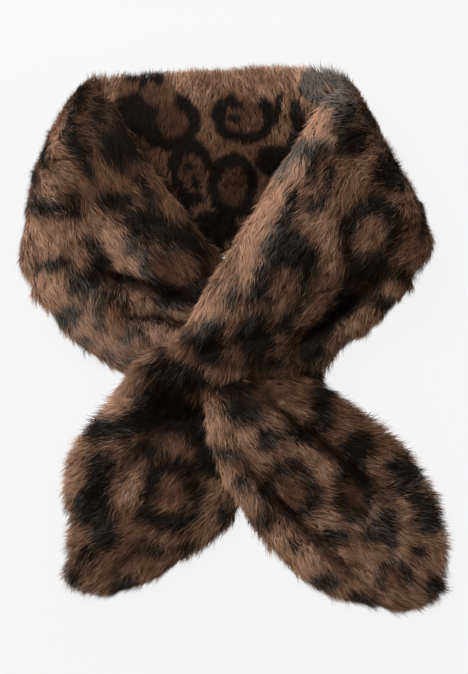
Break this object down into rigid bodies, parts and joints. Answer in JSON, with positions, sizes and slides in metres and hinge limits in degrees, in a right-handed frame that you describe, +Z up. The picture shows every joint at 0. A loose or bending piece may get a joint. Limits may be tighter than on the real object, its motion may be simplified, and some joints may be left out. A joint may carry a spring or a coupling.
{
  "type": "fur collar wrap",
  "caption": "Double-faced fur collar wrap laid flat: a broad band folded over at both sides of the neck, crossed in front, its end drawn through a slot.",
  "frame": {"origin": "on the surface it lies on, under the middle of the whole shape", "axes": "+Z up from the surface, +Y from the tails to the back of the neck, +X to the side that the upper tail lies on"},
  "size_m": [0.3174, 0.3982, 0.0668],
  "materials": {
    "fur": "deep spotted pile, matt with a soft sheen"
  },
  "bodies": {
    "root": {"slotted_tail_outer": "fur", "slotted_tail_inner": "fur", "slot_strap_neck": "fur", "slot_strap_outer": "fur", "front_over_outer": "fur", "front_over_inner": "fur", "turn_right_outer": "fur", "turn_right_inner": "fur", "back_of_neck_outer": "fur", "back_of_neck_inner": "fur", "turn_left_outer": "fur", "turn_left_inner": "fur", "front_under_outer": "fur", "front_under_inner": "fur", "through_tail_outer": "fur", "through_tail_inner": "fur"}
  },
  "joints": []
}
